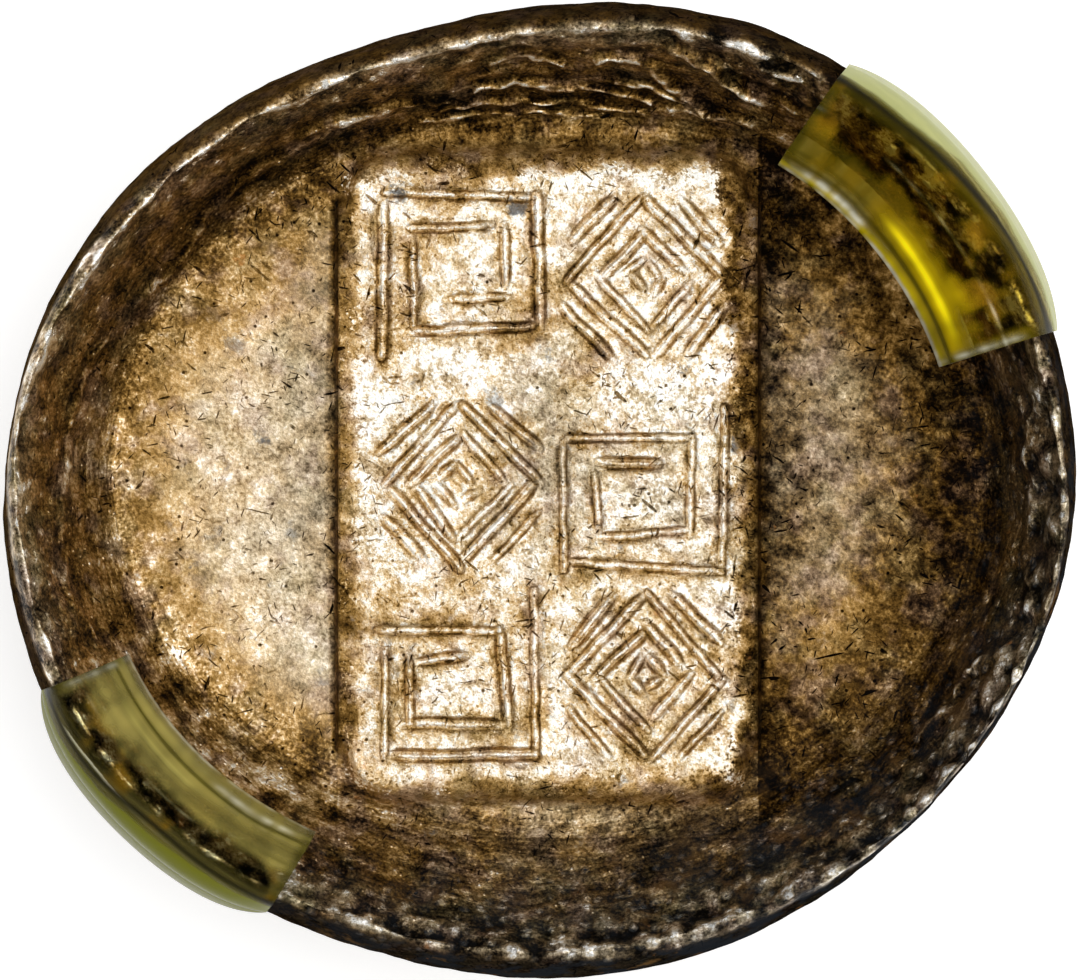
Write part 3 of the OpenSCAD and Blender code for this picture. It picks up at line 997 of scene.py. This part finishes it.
def paint_tubing(mesh, tube, across, along):
    """The yellowed body and how much of it shows: little over the rim, more at the foot and over the dish,
    with painted highlight streaks, scuffs that carry painted highlights, painted shade on the upper part and
    the rim's painted shadow past the foot. Across goes from 0 at the foot to 1 at the inner lip, and along
    from -1 to 1."""
    places = np.column_stack([along * 8, across * 6, 0 * across])
    drawn = across + 0.03 * lumps(places * (0.3, 1, 1), 1.5, 61)
    patch = lumps(places, 1.7, 62) + 0.5 * lumps(places, 0.7, 63)
    lower = ease(0.35, -0.25, along)
    middle = ease(-0.95, -0.6, along) - ease(-0.2, 0.25, along)
    upper = ease(0.1, 0.3, along) - ease(0.75, 0.95, along)
    deep = ease(tube.deep_from - 0.06, tube.deep_from + 0.16, drawn + 0.1 * patch)
    deep = deep * blend(tube.upper_share, 1, np.clip(lower + 0.5 * patch * (1 - lower), 0, 1))
    window = bump(along - 0.2, 0.4) * bump(drawn - 0.66, 0.13) * tube.window
    deep = deep * (1 - window)
    foot = tube.foot * (1 - 0.75 * ease(0.1, -0.9, along)) + tube.flare * ease(0.0, 0.7, along)
    lip = drawn - tube.inner
    dark = bump(lip - 0.85, 0.02) + 0.6 * bump(lip - 0.64, 0.02) * (1 - lower)
    ends = ease(0.9, 0.98, np.abs(along))
    dark = np.clip(np.maximum(dark, 0.8 * ends), 0, 1)
    # The rim's painted shadow: a dark line just past the foot
    under_foot = bump(drawn - foot - 0.085, 0.055)
    # Painted highlights: bright yellow streaks along the inner limb
    streak = np.clip(bump(lip - 0.76, 0.03) * middle + 0.6 * bump(lip - 0.92, 0.03), 0, 1)
    milky = 1 - ease(foot, foot + 0.04, drawn + 0.02 * patch)
    # Scuffs along the cut lip and the lower end, with a painted highlight on the upper inner limb and a thin
    # pale line along the middle
    scuff_and_highlight = bump(across - 0.995, 0.012) * (0.6 + lower) + bump(lip - 0.9, 0.024) * upper
    scuff_and_highlight += 0.4 * bump(drawn - 0.5, 0.006) + 0.5 * bump(along + 0.97, 0.02) * ease(0.3, 0.5, drawn)
    scuff_and_highlight = np.clip(scuff_and_highlight * (0.8 + 1.2 * lumps(places, 0.6, 64)), 0, 1)
    amber = ease(0.1, 0.5, patch) * ease(0.15, 0.3, across) * (1 - deep) * (1 - window)
    lines = lumps(places * (0.2, 3, 1), 1.0, 65)
    # Painted shade: the deep body darkens towards the upper end
    deep_tint = blend(np.array(tube.deep), np.array(SHADED), (tube.shaded * (1 - lower))[:, None])
    layers = (
        (amber, AMBER, tube.amber * 0.4),
        (deep, deep_tint, tube.deep_body),
        (dark, OLIVE, 0.7),
        (under_foot, RIM_SHADOW, 0.9),
        (streak * tube.streaks, tube.streak, 0.95),
        (milky, tube.milky, tube.milky_body),
        (scuff_and_highlight * tube.scuff_and_highlight, SCUFF_AND_HIGHLIGHT_TINT, 0.95))
    tint = deep_tint
    body = np.zeros(len(across))
    for share, colour, shown in layers:
        tint = blend(tint, np.array(colour), share[:, None])
        body = blend(body, shown, share)
    uneven = (0.3 * patch + 0.45 * lines) * (1 - milky)
    tint = tint * np.clip(1 + uneven, 0.5, 1.6)[:, None]
    body = np.clip(body * (1 + 0.5 * uneven), 0, 1)
    paint_vectors(mesh, "tint", tint)
    paint(mesh, "body", body)


def sleeve_piece(name, tube):
    """A strip of tubing wall rolled over the rim, given its thickness and rounded cut edges."""
    start_fresh()
    bpy.ops.mesh.primitive_grid_add(x_subdivisions=SLEEVE_COLS, y_subdivisions=SLEEVE_ROWS, size=2)
    sleeve = bpy.context.object
    sleeve.name = name
    flat = read_points(sleeve.data) * MM
    along = flat[:, 0]
    bore_r = tube.bore / 2
    a = math.radians(tube.turn) + along * math.radians(tube.span) / 2
    lip = lip_turn(a, bore_r)
    out, axis_z = bore_axis(a, bore_r)
    leg = SLEEVE_DROP - SLEEVE_SEAT * bore_r
    run = (flat[:, 1] + 1) / 2 * (leg + lip * bore_r)
    drop = leg * (1 - tube.end_rise * along ** 4)
    low_z = axis_z - drop * (1 - run / leg)
    on_leg = run < leg
    round_turn = np.clip((run - leg) / bore_r, 0, None)
    r = np.where(on_leg, rim_outside_r(a, low_z) + SLEEVE_GAP, out + bore_r * np.cos(round_turn))
    z = np.where(on_leg, low_z, axis_z + bore_r * np.sin(round_turn))
    place_points(sleeve.data, at_polar(r, a, z))
    across = (1 - np.cos(np.minimum(round_turn, np.pi))) / 2
    paint_tubing(sleeve.data, tube, across, along)
    full = sleeve.vertex_groups.new(name="full_wall")
    thin = blend(tube.slim, SLIM_END, along ** 4) * (1 - ease(0.02, 0.3, across))
    for vertex, share in enumerate(1 - thin):
        full.add([vertex], share, "REPLACE")
    wall = sleeve.modifiers.new("wall", "SOLIDIFY")
    wall.vertex_group = full.name
    wall.thickness = (SLEEVE_WALL - WALL_SHY) * MM
    wall.offset = 1
    wall.use_even_offset = True
    bpy.ops.object.modifier_apply(modifier=wall.name)
    edges = sleeve.modifiers.new("cut_edges", "BEVEL")
    edges.width = CUT_ROUND * MM
    edges.segments = CUT_STEPS
    edges.limit_method = "ANGLE"
    edges.angle_limit = CUT_ANGLE
    bpy.ops.object.modifier_apply(modifier=edges.name)
    bpy.ops.object.mode_set(mode="EDIT")
    bpy.ops.mesh.select_all(action="SELECT")
    bpy.ops.mesh.normals_make_consistent(inside=False)
    bpy.ops.object.mode_set(mode="OBJECT")
    bpy.ops.object.shade_smooth()
    return sleeve


# Finishes

class Finish:
    """A material's node tree, built one node at a time."""

    def __init__(self, name):
        self.material = bpy.data.materials.new(name)
        self.material.use_nodes = True
        self.tree = self.material.node_tree
        self.shader = self.tree.nodes["Principled BSDF"]

    def node(self, kind, inputs=None, **settings):
        made = self.tree.nodes.new(kind)
        for key, value in settings.items():
            setattr(made, key, value)
        for key, value in (inputs or {}).items():
            self.feed(made.inputs[key], value)
        return made

    def feed(self, socket, value):
        if isinstance(value, bpy.types.NodeSocket):
            self.tree.links.new(value, socket)
        else:
            socket.default_value = value

    def math(self, operation, a, b=0.0, clamp=False):
        return self.node("ShaderNodeMath", {0: a, 1: b}, operation=operation, use_clamp=clamp).outputs[0]

    def times(self, a, b):
        return self.math("MULTIPLY", a, b)

    def add(self, value, extra, amount):
        """The value with this much of the extra added."""
        made = self.node("ShaderNodeMath", {0: extra, 1: amount, 2: value}, operation="MULTIPLY_ADD")
        return made.outputs[0]

    def pile(self, value, layers):
        """The value with some of every layer added."""
        for extra, amount in layers:
            value = self.add(value, extra, amount)
        return value

    def span(self, value, low, high, to_low=0.0, to_high=1.0):
        made = self.node("ShaderNodeMapRange", {0: value, 1: low, 2: high, 3: to_low, 4: to_high})
        return made.outputs[0]

    def by_share(self, share, none, whole):
        """One number where the share is 0, another where it is 1, and a straight run between them."""
        return self.span(share, 0.0, 1.0, none, whole)

    def attribute(self, name, output="Fac"):
        return self.node("ShaderNodeAttribute", attribute_name=name).outputs[output]

    def mapped(self, coords, **settings):
        return self.node("ShaderNodeMapping", {"Vector": coords, **settings}).outputs[0]

    def millimetres(self):
        place = self.node("ShaderNodeTexCoord").outputs["Object"]
        return self.mapped(place, Scale=(1 / MM, 1 / MM, 1 / MM))

    def moved(self, coords, shift):
        return self.mapped(coords, Location=(shift, shift * 0.7, shift * 0.4))

    def noise(self, coords, scale, detail=2.0, roughness=0.5):
        """Noise between -0.5 and 0.5."""
        made = self.node("ShaderNodeTexNoise",
                         {"Vector": coords, "Scale": scale, "Detail": detail, "Roughness": roughness})
        return self.math("SUBTRACT", made.outputs["Fac"], 0.5)

    def patches(self, coords, scale, detail, roughness, low, high, strongest=1.0):
        """Soft patches: nothing where the noise is below low, the strongest where it is above high."""
        return self.span(self.noise(coords, scale, detail, roughness), low, high, 0.0, strongest)

    def scatter(self, coords, scale):
        """Scattered cells: distance from the middle of each, and three random numbers that are its own."""
        cells = self.node("ShaderNodeTexVoronoi", {"Vector": coords, "Scale": scale})
        lots = self.node("ShaderNodeSeparateColor", {0: cells.outputs["Color"]})
        return cells.outputs["Distance"], lots.outputs

    def ramp(self, tone, colours):
        """The colour of this brightness."""
        made = self.node("ShaderNodeValToRGB", {"Fac": tone})
        points = made.color_ramp.elements
        while len(points) < len(colours):
            points.new(0.5)
        for point, place, colour in zip(points, TONE_STEPS, colours):
            point.position = place
            point.color = (*colour, 1)
        return made.outputs["Color"]

    def mix(self, share, a, b):
        made = self.node("ShaderNodeMix", data_type="RGBA")
        self.feed(made.inputs["Factor"], share)
        self.feed(made.inputs["A"], a)
        self.feed(made.inputs["B"], b)
        return made.outputs["Result"]

    def relief(self, height):
        """A fine unevenness of this height in millimetres."""
        return self.node("ShaderNodeBump", {"Strength": 1.0, "Distance": MM, "Height": height}).outputs[0]

    def share_surface(self, share, other):
        """Gives the surface the other shader in place of its own, by this share."""
        either = self.node("ShaderNodeMixShader", {0: share, 1: self.shader.outputs[0], 2: other.outputs[0]})
        self.tree.links.new(either.outputs[0], self.tree.nodes["Material Output"].inputs["Surface"])


# The silver's tints, each from black to white at the same steps of brightness
TONE_STEPS = (0.0, 0.13, 0.27, 0.42, 0.57, 0.72, 0.86, 1.0)
GOLDEN = (
    (0.003, 0.0018, 0.0008), (0.014, 0.0064, 0.0015), (0.05, 0.0245, 0.0048), (0.125, 0.064, 0.0135),
    (0.275, 0.155, 0.042), (0.49, 0.305, 0.12), (0.72, 0.53, 0.3), (0.97, 0.93, 0.82))
SILVERY = (
    (0.003, 0.0025, 0.002), (0.0115, 0.0088, 0.0058), (0.041, 0.031, 0.0185), (0.106, 0.082, 0.05),
    (0.236, 0.19, 0.123), (0.43, 0.362, 0.255), (0.675, 0.595, 0.46), (0.97, 0.955, 0.91))
ROSY = (
    (0.004, 0.0022, 0.002), (0.014, 0.0078, 0.0058), (0.05, 0.029, 0.021), (0.128, 0.08, 0.06),
    (0.285, 0.195, 0.15), (0.5, 0.38, 0.31), (0.74, 0.63, 0.55), (1.0, 0.95, 0.9))
MOSSY = (
    (0.0022, 0.0024, 0.0014), (0.0088, 0.0088, 0.0042), (0.033, 0.0315, 0.0145), (0.094, 0.086, 0.04),
    (0.22, 0.195, 0.1), (0.42, 0.37, 0.22), (0.68, 0.61, 0.42), (0.97, 0.94, 0.85))

# Stains and corrosion, and the bluish white of the painted highlights on the rim's knobs
ORANGE = (0.5, 0.2, 0.05, 1)
BLUE_GREY = (0.16, 0.17, 0.175, 1)
BLUE_BLACK = (0.016, 0.019, 0.0235, 1)
OCHRE = (0.17, 0.09, 0.03, 1)
SLATE = (0.055, 0.06, 0.068, 1)
BLUISH_GLINT = (0.42, 0.47, 0.52, 1)

# The nicks: directions in degrees and lengths in millimetres, and how slim they are
NICKS = ((12, 1.1), (47, 0.7), (75, 0.9), (108, 0.6), (140, 1.3), (166, 0.7))
NICK_SLIM = 0.2
CRUMPLE_TURN = (0.5, 0.4, 0.7)


def nicks(silver, coords):
    """Short fine nicks in several directions, in clusters."""
    total = None
    for k, (turn, length) in enumerate(NICKS):
        turned = silver.node("ShaderNodeMapping", {
            "Vector": coords, "Location": (k * 3.7, k * 5.1, 0), "Rotation": (0, 0, math.radians(turn)),
            "Scale": (length, NICK_SLIM * length, 1)}, vector_type="TEXTURE")
        streak = silver.span(silver.noise(turned.outputs[0], 1.0, 0.5), 0.25, 0.29)
        total = streak if total is None else silver.math("MAXIMUM", total, streak)
    cluster = silver.patches(silver.moved(coords, 19), 0.28, 2.0, 0.5, -0.08, 0.06)
    return silver.times(total, cluster)


# What the sculpting paints on the ingot
PAINTED = ("tone", "white", "white_edge", "warm", "patina", "rim", "band", "blue", "outside", "panel", "silk")


def silver_places(silver):
    """Where on the ingot a point lies, as the sculpting painted it."""
    at = SimpleNamespace(**{name: silver.attribute(name) for name in PAINTED})
    at.off_rim = silver.math("SUBTRACT", 1.0, at.rim)
    at.rough = silver.math("MAXIMUM", at.rim, at.silk)
    return at


def silver_marks(silver, coords, at):
    """The metal's marks: grain, mottle, streaks, brown, knobs with painted highlights on them, specks, nicks,
    painted glints and crumples.
    """
    marks = SimpleNamespace()
    marks.grain = silver.noise(coords, 5.5, 3.0, 0.62)
    marks.mottle = silver.noise(coords, 0.75, 4.0, 0.62)
    flowing = silver.noise(silver.attribute("flow", "Vector"), 1.0, 4.0, 0.65)
    marks.silk = silver.times(flowing, at.silk)
    brown = silver.pile(at.patina, ((marks.mottle, 1.3), (marks.grain, 1.7)))
    starts = silver.by_share(at.panel, 0.1, 0.38)
    full = silver.by_share(at.panel, 1.0, 0.72)
    marks.brown = silver.span(brown, starts, full)
    off_middle, lots = silver.scatter(coords, 1.7)
    uneven = silver.add(off_middle, silver.noise(silver.moved(coords, 271), 2.2, 4.0, 0.65), 1.3)
    # Knobs on the rim: relief, and painted highlights on them
    knob = silver.times(silver.span(uneven, 0.08, 0.5, 1.0, 0.0), silver.span(lots[0], 0.35, 0.9))
    marks.knob = silver.times(knob, at.rim)
    speck = silver.span(off_middle, 0.07, 0.16, 1.0, 0.0)
    marks.speck = silver.times(speck, silver.span(lots[1], 0.62, 0.66))
    marks.cut = silver.times(nicks(silver, coords), at.off_rim)
    # Painted glints: small bright spots laid into the tone as highlights, with a little relief
    off_middle, lots = silver.scatter(silver.moved(coords, 11), 2.4)
    glint = silver.times(silver.span(off_middle, 0.08, 0.26, 1.0, 0.0), silver.span(lots[2], 0.74, 0.9))
    marks.glint = silver.times(glint, at.rough)
    crumple = silver.noise(silver.mapped(coords, Rotation=CRUMPLE_TURN), 1.4, 5.0, 0.72)
    inside = silver.times(silver.by_share(at.rough, 1.0, 0.25), silver.by_share(at.outside, 1.0, 0.3))
    marks.crumple = silver.times(crumple, inside)
    return marks


def silver_tone(silver, coords, at, marks):
    """How bright the metal is, from 0 to 1."""
    edge = silver.pile(at.white_edge, ((marks.mottle, 2.4), (marks.grain, 2.2)))
    tone = silver.add(at.tone, silver.math("SUBTRACT", at.white, at.tone), silver.span(edge, -0.12, 0.16))
    calm = silver.times(silver.by_share(at.band, 1.0, 0.8), silver.by_share(at.outside, 1.0, 0.6))
    fine = silver.add(silver.by_share(at.rough, 1.0, 1.5), at.panel, 0.1)
    pepper = silver.patches(silver.moved(coords, 211), 5.0, 2.0, 0.6, 0.06, 0.13)
    tone = silver.pile(tone, (
        (marks.grain, silver.times(fine, calm)),
        (marks.mottle, silver.times(silver.by_share(at.rough, 0.95, 1.55), calm)),
        (marks.crumple, silver.add(silver.span(at.tone, 0.35, 0.75, 1.6, 0.5), at.panel, 0.7)),
        (marks.silk, 1.0),
        # The knobs' painted highlights and the painted glints
        (marks.knob, silver.span(at.blue, 0.0, 0.4, 0.45, 0.55)),
        (marks.glint, 0.35),
        (marks.brown, silver.by_share(at.panel, -0.2, -0.38)),
        (silver.times(pepper, silver.times(marks.brown, at.panel)), -0.25),
        (marks.cut, silver.span(at.tone, 0.5, 0.85, -0.6, -0.35)),
        (marks.speck, -0.4)))
    return silver.math("MINIMUM", silver.math("MAXIMUM", tone, 0.0), 1.0)


def silver_colour(silver, coords, at, marks, tone):
    """Silver to gold by its warmth, with rosy and mossy patches, smudges, blots, the rim's corrosion and the
    bluish white of the painted highlights on its knobs.
    """
    warm = silver.add(at.warm, silver.noise(silver.moved(coords, 31), 0.4, 3.0, 0.6), 1.2)
    warm = silver.math("ADD", silver.add(warm, marks.brown, 0.45), 0.0, clamp=True)
    colour = silver.mix(warm, silver.ramp(tone, SILVERY), silver.ramp(tone, GOLDEN))
    bright = silver.times(at.off_rim, silver.span(tone, 0.45, 0.75))
    rosy = silver.patches(silver.moved(coords, 101), 0.55, 3.0, 0.6, 0.0, 0.14)
    mossy = silver.patches(silver.moved(coords, 131), 0.45, 3.0, 0.6, 0.0, 0.14)
    smudge = silver.patches(silver.moved(coords, 57), 0.55, 4.0, 0.65, 0.13, 0.22)
    off_middle, lots = silver.scatter(silver.moved(coords, 173), 0.25)
    ragged = silver.add(off_middle, silver.noise(silver.moved(coords, 191), 1.6, 3.0, 0.7), 0.5)
    blot = silver.times(silver.span(ragged, 0.06, 0.14, 0.85, 0.0), silver.span(lots[0], 0.4, 0.45))
    inky = silver.patches(silver.moved(coords, 149), 0.45, 4.0, 0.65, -0.04, 0.06, 0.9)
    ochre = silver.patches(silver.moved(coords, 233), 0.4, 4.0, 0.65, 0.08, 0.15, 0.7)
    rust = silver.patches(silver.moved(coords, 83), 0.9, 3.0, 0.6, 0.2, 0.27)
    layers = (
        (silver.times(rosy, silver.by_share(at.rim, 0.4, 0.5)), silver.ramp(tone, ROSY)),
        (silver.times(mossy, silver.by_share(at.rim, 0.22, 0.45)), silver.ramp(tone, MOSSY)),
        (silver.times(smudge, silver.times(bright, 0.6)), BLUE_GREY),
        (silver.times(blot, bright), SLATE),
        (silver.times(inky, at.blue), BLUE_BLACK),
        (silver.times(ochre, at.blue), OCHRE),
        # Painted bluish-white highlights on the rim's knobs
        (silver.times(marks.knob, silver.span(at.blue, 0.0, 0.4, 0.0, 0.2)), BLUISH_GLINT),
        (silver.times(rust, 0.4), ORANGE))
    for share, tint in layers:
        colour = silver.mix(share, colour, tint)
    return colour


def aged_silver():
    """Cast silver, white where it is rubbed, with brown patina that darkens to black on the rim and walls,
    and painted highlights and glints.
    """
    silver = Finish("aged_silver")
    coords = silver.millimetres()
    at = silver_places(silver)
    marks = silver_marks(silver, coords, at)
    tone = silver_tone(silver, coords, at, marks)
    sockets = silver.shader.inputs
    sockets["Specular IOR Level"].default_value = 0.0
    silver.feed(sockets["Base Color"], silver_colour(silver, coords, at, marks, tone))
    metal = silver.span(tone, 0.1, 0.5, 0.6, 1.0)
    silver.feed(sockets["Metallic"], silver.times(metal, silver.by_share(at.band, 1.0, 0.0)))
    silver.feed(sockets["Roughness"], silver.add(silver.by_share(tone, 0.52, 0.34), at.band, 0.3))
    height = silver.pile(silver.times(marks.grain, 0.035), (
        (silver.times(marks.mottle, at.rough), 0.16),
        (marks.glint, 0.06),
        (marks.crumple, 0.1),
        (marks.silk, 0.08),
        (marks.knob, 0.22),
        (marks.cut, -0.04),
        (marks.speck, -0.04),
        (silver.times(marks.grain, at.panel), 0.03)))
    silver.feed(sockets["Normal"], silver.relief(height))
    return silver.material


# The clear vinyl, and the yellowed body that is painted into it
CLEAR_VINYL = {
    "Transmission Weight": 1.0,
    "IOR": 1.25,
    "Specular IOR Level": 0.0,
    "Specular Tint": (0, 0, 0, 1),
    "Roughness": 0.02,
}
BODY_ROUGH = 0.25
BODY_GLOSS = 0.04


def clear_tubing(name, glass):
    """Soft clear vinyl with its yellowed body painted in, and a faintly uneven surface."""
    vinyl = Finish(name)
    uneven = vinyl.noise(vinyl.millimetres(), 0.9, 3.0, 0.5)
    relief = vinyl.relief(vinyl.times(uneven, 0.02))
    vinyl.shader.inputs["Base Color"].default_value = (*glass, 1)
    for socket, value in CLEAR_VINYL.items():
        vinyl.shader.inputs[socket].default_value = value
    vinyl.feed(vinyl.shader.inputs["Normal"], relief)
    body = vinyl.node("ShaderNodeBsdfPrincipled", {
        "Base Color": vinyl.attribute("tint", "Vector"), "Roughness": BODY_ROUGH,
        "Specular IOR Level": BODY_GLOSS, "Normal": relief})
    vinyl.share_surface(vinyl.attribute("body"), body)
    return vinyl.material


# Stage, lamps and camera

FLOOR_SIZE = 3.0
PAPER = (0.9, 0.9, 0.9, 1)
PAPER_ROUGH = 0.9
PAPER_GLOW = 0.45
WHITE = (1, 1, 1, 1)
SKY_FROM = -0.1
SKY_TO = 1.0
SKY_LOW = 0.25
SKY_HIGH = 0.95
KEY_PLACE = (0.26, 0.1, 0.55)
KEY_SIZE = 0.6
KEY_POWER = 1.6
CAMERA_RISE = 0.6
SENSOR_W = 36.0
FAR_CLIP = 5


def stage_floor():
    """Pale paper, which reads white outside the object's shadow, and is open to a look from below."""
    start_fresh()
    bpy.ops.mesh.primitive_plane_add(size=FLOOR_SIZE)
    floor = bpy.context.object
    floor.name = "floor"
    paper = Finish("floor_paper")
    paper.shader.inputs["Base Color"].default_value = PAPER
    paper.shader.inputs["Roughness"].default_value = PAPER_ROUGH
    path = paper.node("ShaderNodeLightPath")
    seen = paper.math("MAXIMUM", path.outputs["Is Camera Ray"], path.outputs["Is Transmission Ray"])
    seen = paper.math("MAXIMUM", seen, path.outputs["Is Glossy Ray"])
    paper.shader.inputs["Emission Color"].default_value = WHITE
    paper.feed(paper.shader.inputs["Emission Strength"], paper.times(seen, PAPER_GLOW))
    below = paper.node("ShaderNodeNewGeometry").outputs["Backfacing"]
    paper.share_surface(below, paper.node("ShaderNodeBsdfTransparent"))
    floor.data.materials.append(paper.material)


def soft_world():
    """White light from all round, stronger from overhead."""
    world = bpy.data.worlds.new("studio")
    bpy.context.scene.world = world
    world.use_nodes = True
    nodes, links = world.node_tree.nodes, world.node_tree.links
    back = nodes["Background"]
    back.inputs["Color"].default_value = WHITE
    place = nodes.new("ShaderNodeTexCoord")
    split = nodes.new("ShaderNodeSeparateXYZ")
    overhead = nodes.new("ShaderNodeMapRange")
    for socket, value in enumerate((SKY_FROM, SKY_TO, SKY_LOW, SKY_HIGH), start=1):
        overhead.inputs[socket].default_value = value
    links.new(place.outputs["Generated"], split.inputs[0])
    links.new(split.outputs["Z"], overhead.inputs[0])
    path = nodes.new("ShaderNodeLightPath")
    strength = nodes.new("ShaderNodeMix")
    strength.inputs["B"].default_value = 1.0
    links.new(path.outputs["Is Camera Ray"], strength.inputs["Factor"])
    links.new(overhead.outputs[0], strength.inputs["A"])
    links.new(strength.outputs["Result"], back.inputs["Strength"])


def key_lamp():
    """One broad soft lamp, high up and to the right, that looks at the ingot."""
    light = bpy.data.lights.new("key", "AREA")
    light.size = KEY_SIZE
    light.energy = KEY_POWER
    obj = bpy.data.objects.new("key", light)
    bpy.context.scene.collection.objects.link(obj)
    obj.location = KEY_PLACE
    obj.rotation_mode = "QUATERNION"
    obj.rotation_quaternion = (-Vector(KEY_PLACE)).to_track_quat("-Z", "Y")


def photo_camera():
    """Straight above the oval, far off, with the photograph's frame at the widest line."""
    camera = bpy.data.cameras.new("camera")
    obj = bpy.data.objects.new("camera", camera)
    bpy.context.scene.collection.objects.link(obj)
    obj.location = (0, 0, CAMERA_RISE + SHOULDER_H * MM)
    camera.sensor_width = SENSOR_W
    camera.lens = SENSOR_W * CAMERA_RISE / (PHOTO_W / PX_PER_MM * MM)
    camera.clip_end = FAR_CLIP
    bpy.context.scene.camera = obj


ingot = ingot_piece()
ingot.data.materials.append(aged_silver())
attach(ingot, "ingot")
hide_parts("ingot")

right = sleeve_piece("rim_sleeve_right_visual", RIGHT)
right.data.materials.append(clear_tubing("clear_tubing_right", RIGHT.glass))
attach(right, "right_sleeve")
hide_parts("rim_sleeve_right")

left = sleeve_piece("rim_sleeve_left_visual", LEFT)
left.data.materials.append(clear_tubing("clear_tubing_left", LEFT.glass))
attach(left, "left_sleeve")
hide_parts("rim_sleeve_left")

stage_floor()
soft_world()
key_lamp()
photo_camera()
bpy.context.scene.view_settings.view_transform = "Standard"
